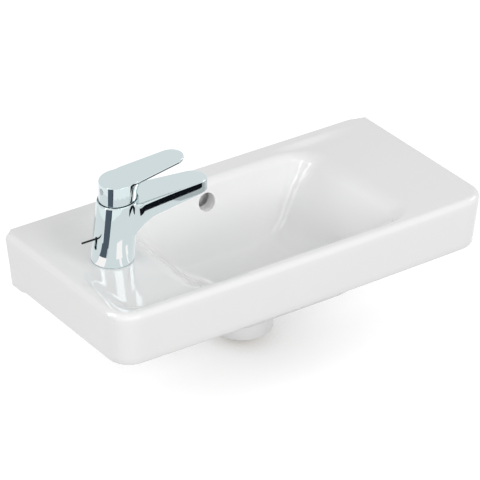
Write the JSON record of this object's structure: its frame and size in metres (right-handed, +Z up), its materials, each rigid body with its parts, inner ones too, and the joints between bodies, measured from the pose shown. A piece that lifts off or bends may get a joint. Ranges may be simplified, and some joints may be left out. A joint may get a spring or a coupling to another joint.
{
  "type": "hand basin",
  "caption": "Wall-hung rectangular hand basin with a bowl, a sunken tap deck on the left, a side shelf, a single-lever mixer tap and a pop-up waste.",
  "frame": {"origin": "midway between the two wall-fixing holes, on the wall face", "axes": "+X along the wall to the right seen from the front, +Y into the wall, +Z up"},
  "size_m": [0.5, 0.24, 0.2624],
  "materials": {
    "ceramic": "glossy white glaze",
    "chrome": "polished",
    "steel": "bright zinc plated",
    "brass": "machined",
    "rubber": "matte",
    "plastic": "moulded",
    "plug_plastic": "moulded",
    "disc_ceramic": "lapped"
  },
  "bodies": {
    "basin_unit": {"basin": "ceramic", "mixer_body": "chrome", "base_seal": "rubber", "mounting_stud": "steel", "clamp_gasket": "rubber", "clamp_washer": "steel", "clamp_nut": "brass", "cartridge_housing": "plastic", "cartridge_base": "plastic", "port_seals": "rubber", "fixed_disc": "disc_ceramic", "retaining_nut": "brass", "aerator_ring": "chrome", "aerator_insert": "plastic", "aerator_seal": "rubber", "waste_flange": "chrome", "flange_seal": "rubber", "waste_body": "brass", "waste_gasket": "rubber", "waste_locknut": "brass"},
    "lever_carrier": {"rotor": "plastic", "pivot_pin": "steel"},
    "lever": {"lever_handle": "chrome", "lever_spindle": "steel", "grub_screw": "steel", "index_plug": "plug_plastic"},
    "disc_slider": {"moving_disc": "disc_ceramic", "disc_carrier": "plastic"},
    "pop_up_rod": {"pull_rod": "chrome", "pull_pin": "chrome"},
    "plug": {"waste_plug": "chrome", "plug_seal": "rubber"}
  },
  "joints": [
    {"name": "temperature_turn", "type": "hinge", "parent": "basin_unit", "child": "lever_carrier", "pos_m": [-0.1697, -0.112, 0.1136], "axis": [-0.1045, 0, 0.9945], "range_deg": [-50, 50]},
    {"name": "lever_lift", "type": "hinge", "parent": "lever_carrier", "child": "lever", "pos_m": [-0.16959, -0.112, 0.1126], "axis": [0, -1, 0], "range_deg": [0, 20]},
    {"name": "disc_slide", "type": "slide", "parent": "lever_carrier", "child": "disc_slider", "axis": [0.9945, 0, 0.1045], "range_m": [0, 0.0042]},
    {"name": "rod_slide", "type": "slide", "parent": "basin_unit", "child": "pop_up_rod", "axis": [0, 0, 1], "range_m": [-0.011, 0]},
    {"name": "plug_slide", "type": "slide", "parent": "basin_unit", "child": "plug", "axis": [0, 0, 1], "range_m": [0, 0.008]}
  ],
  "couplings": [
    {"joint": "disc_slide", "follows": "lever_lift", "m_per_rad": 0.012},
    {"joint": "plug_slide", "follows": "rod_slide", "ratio": -0.7272}
  ]
}
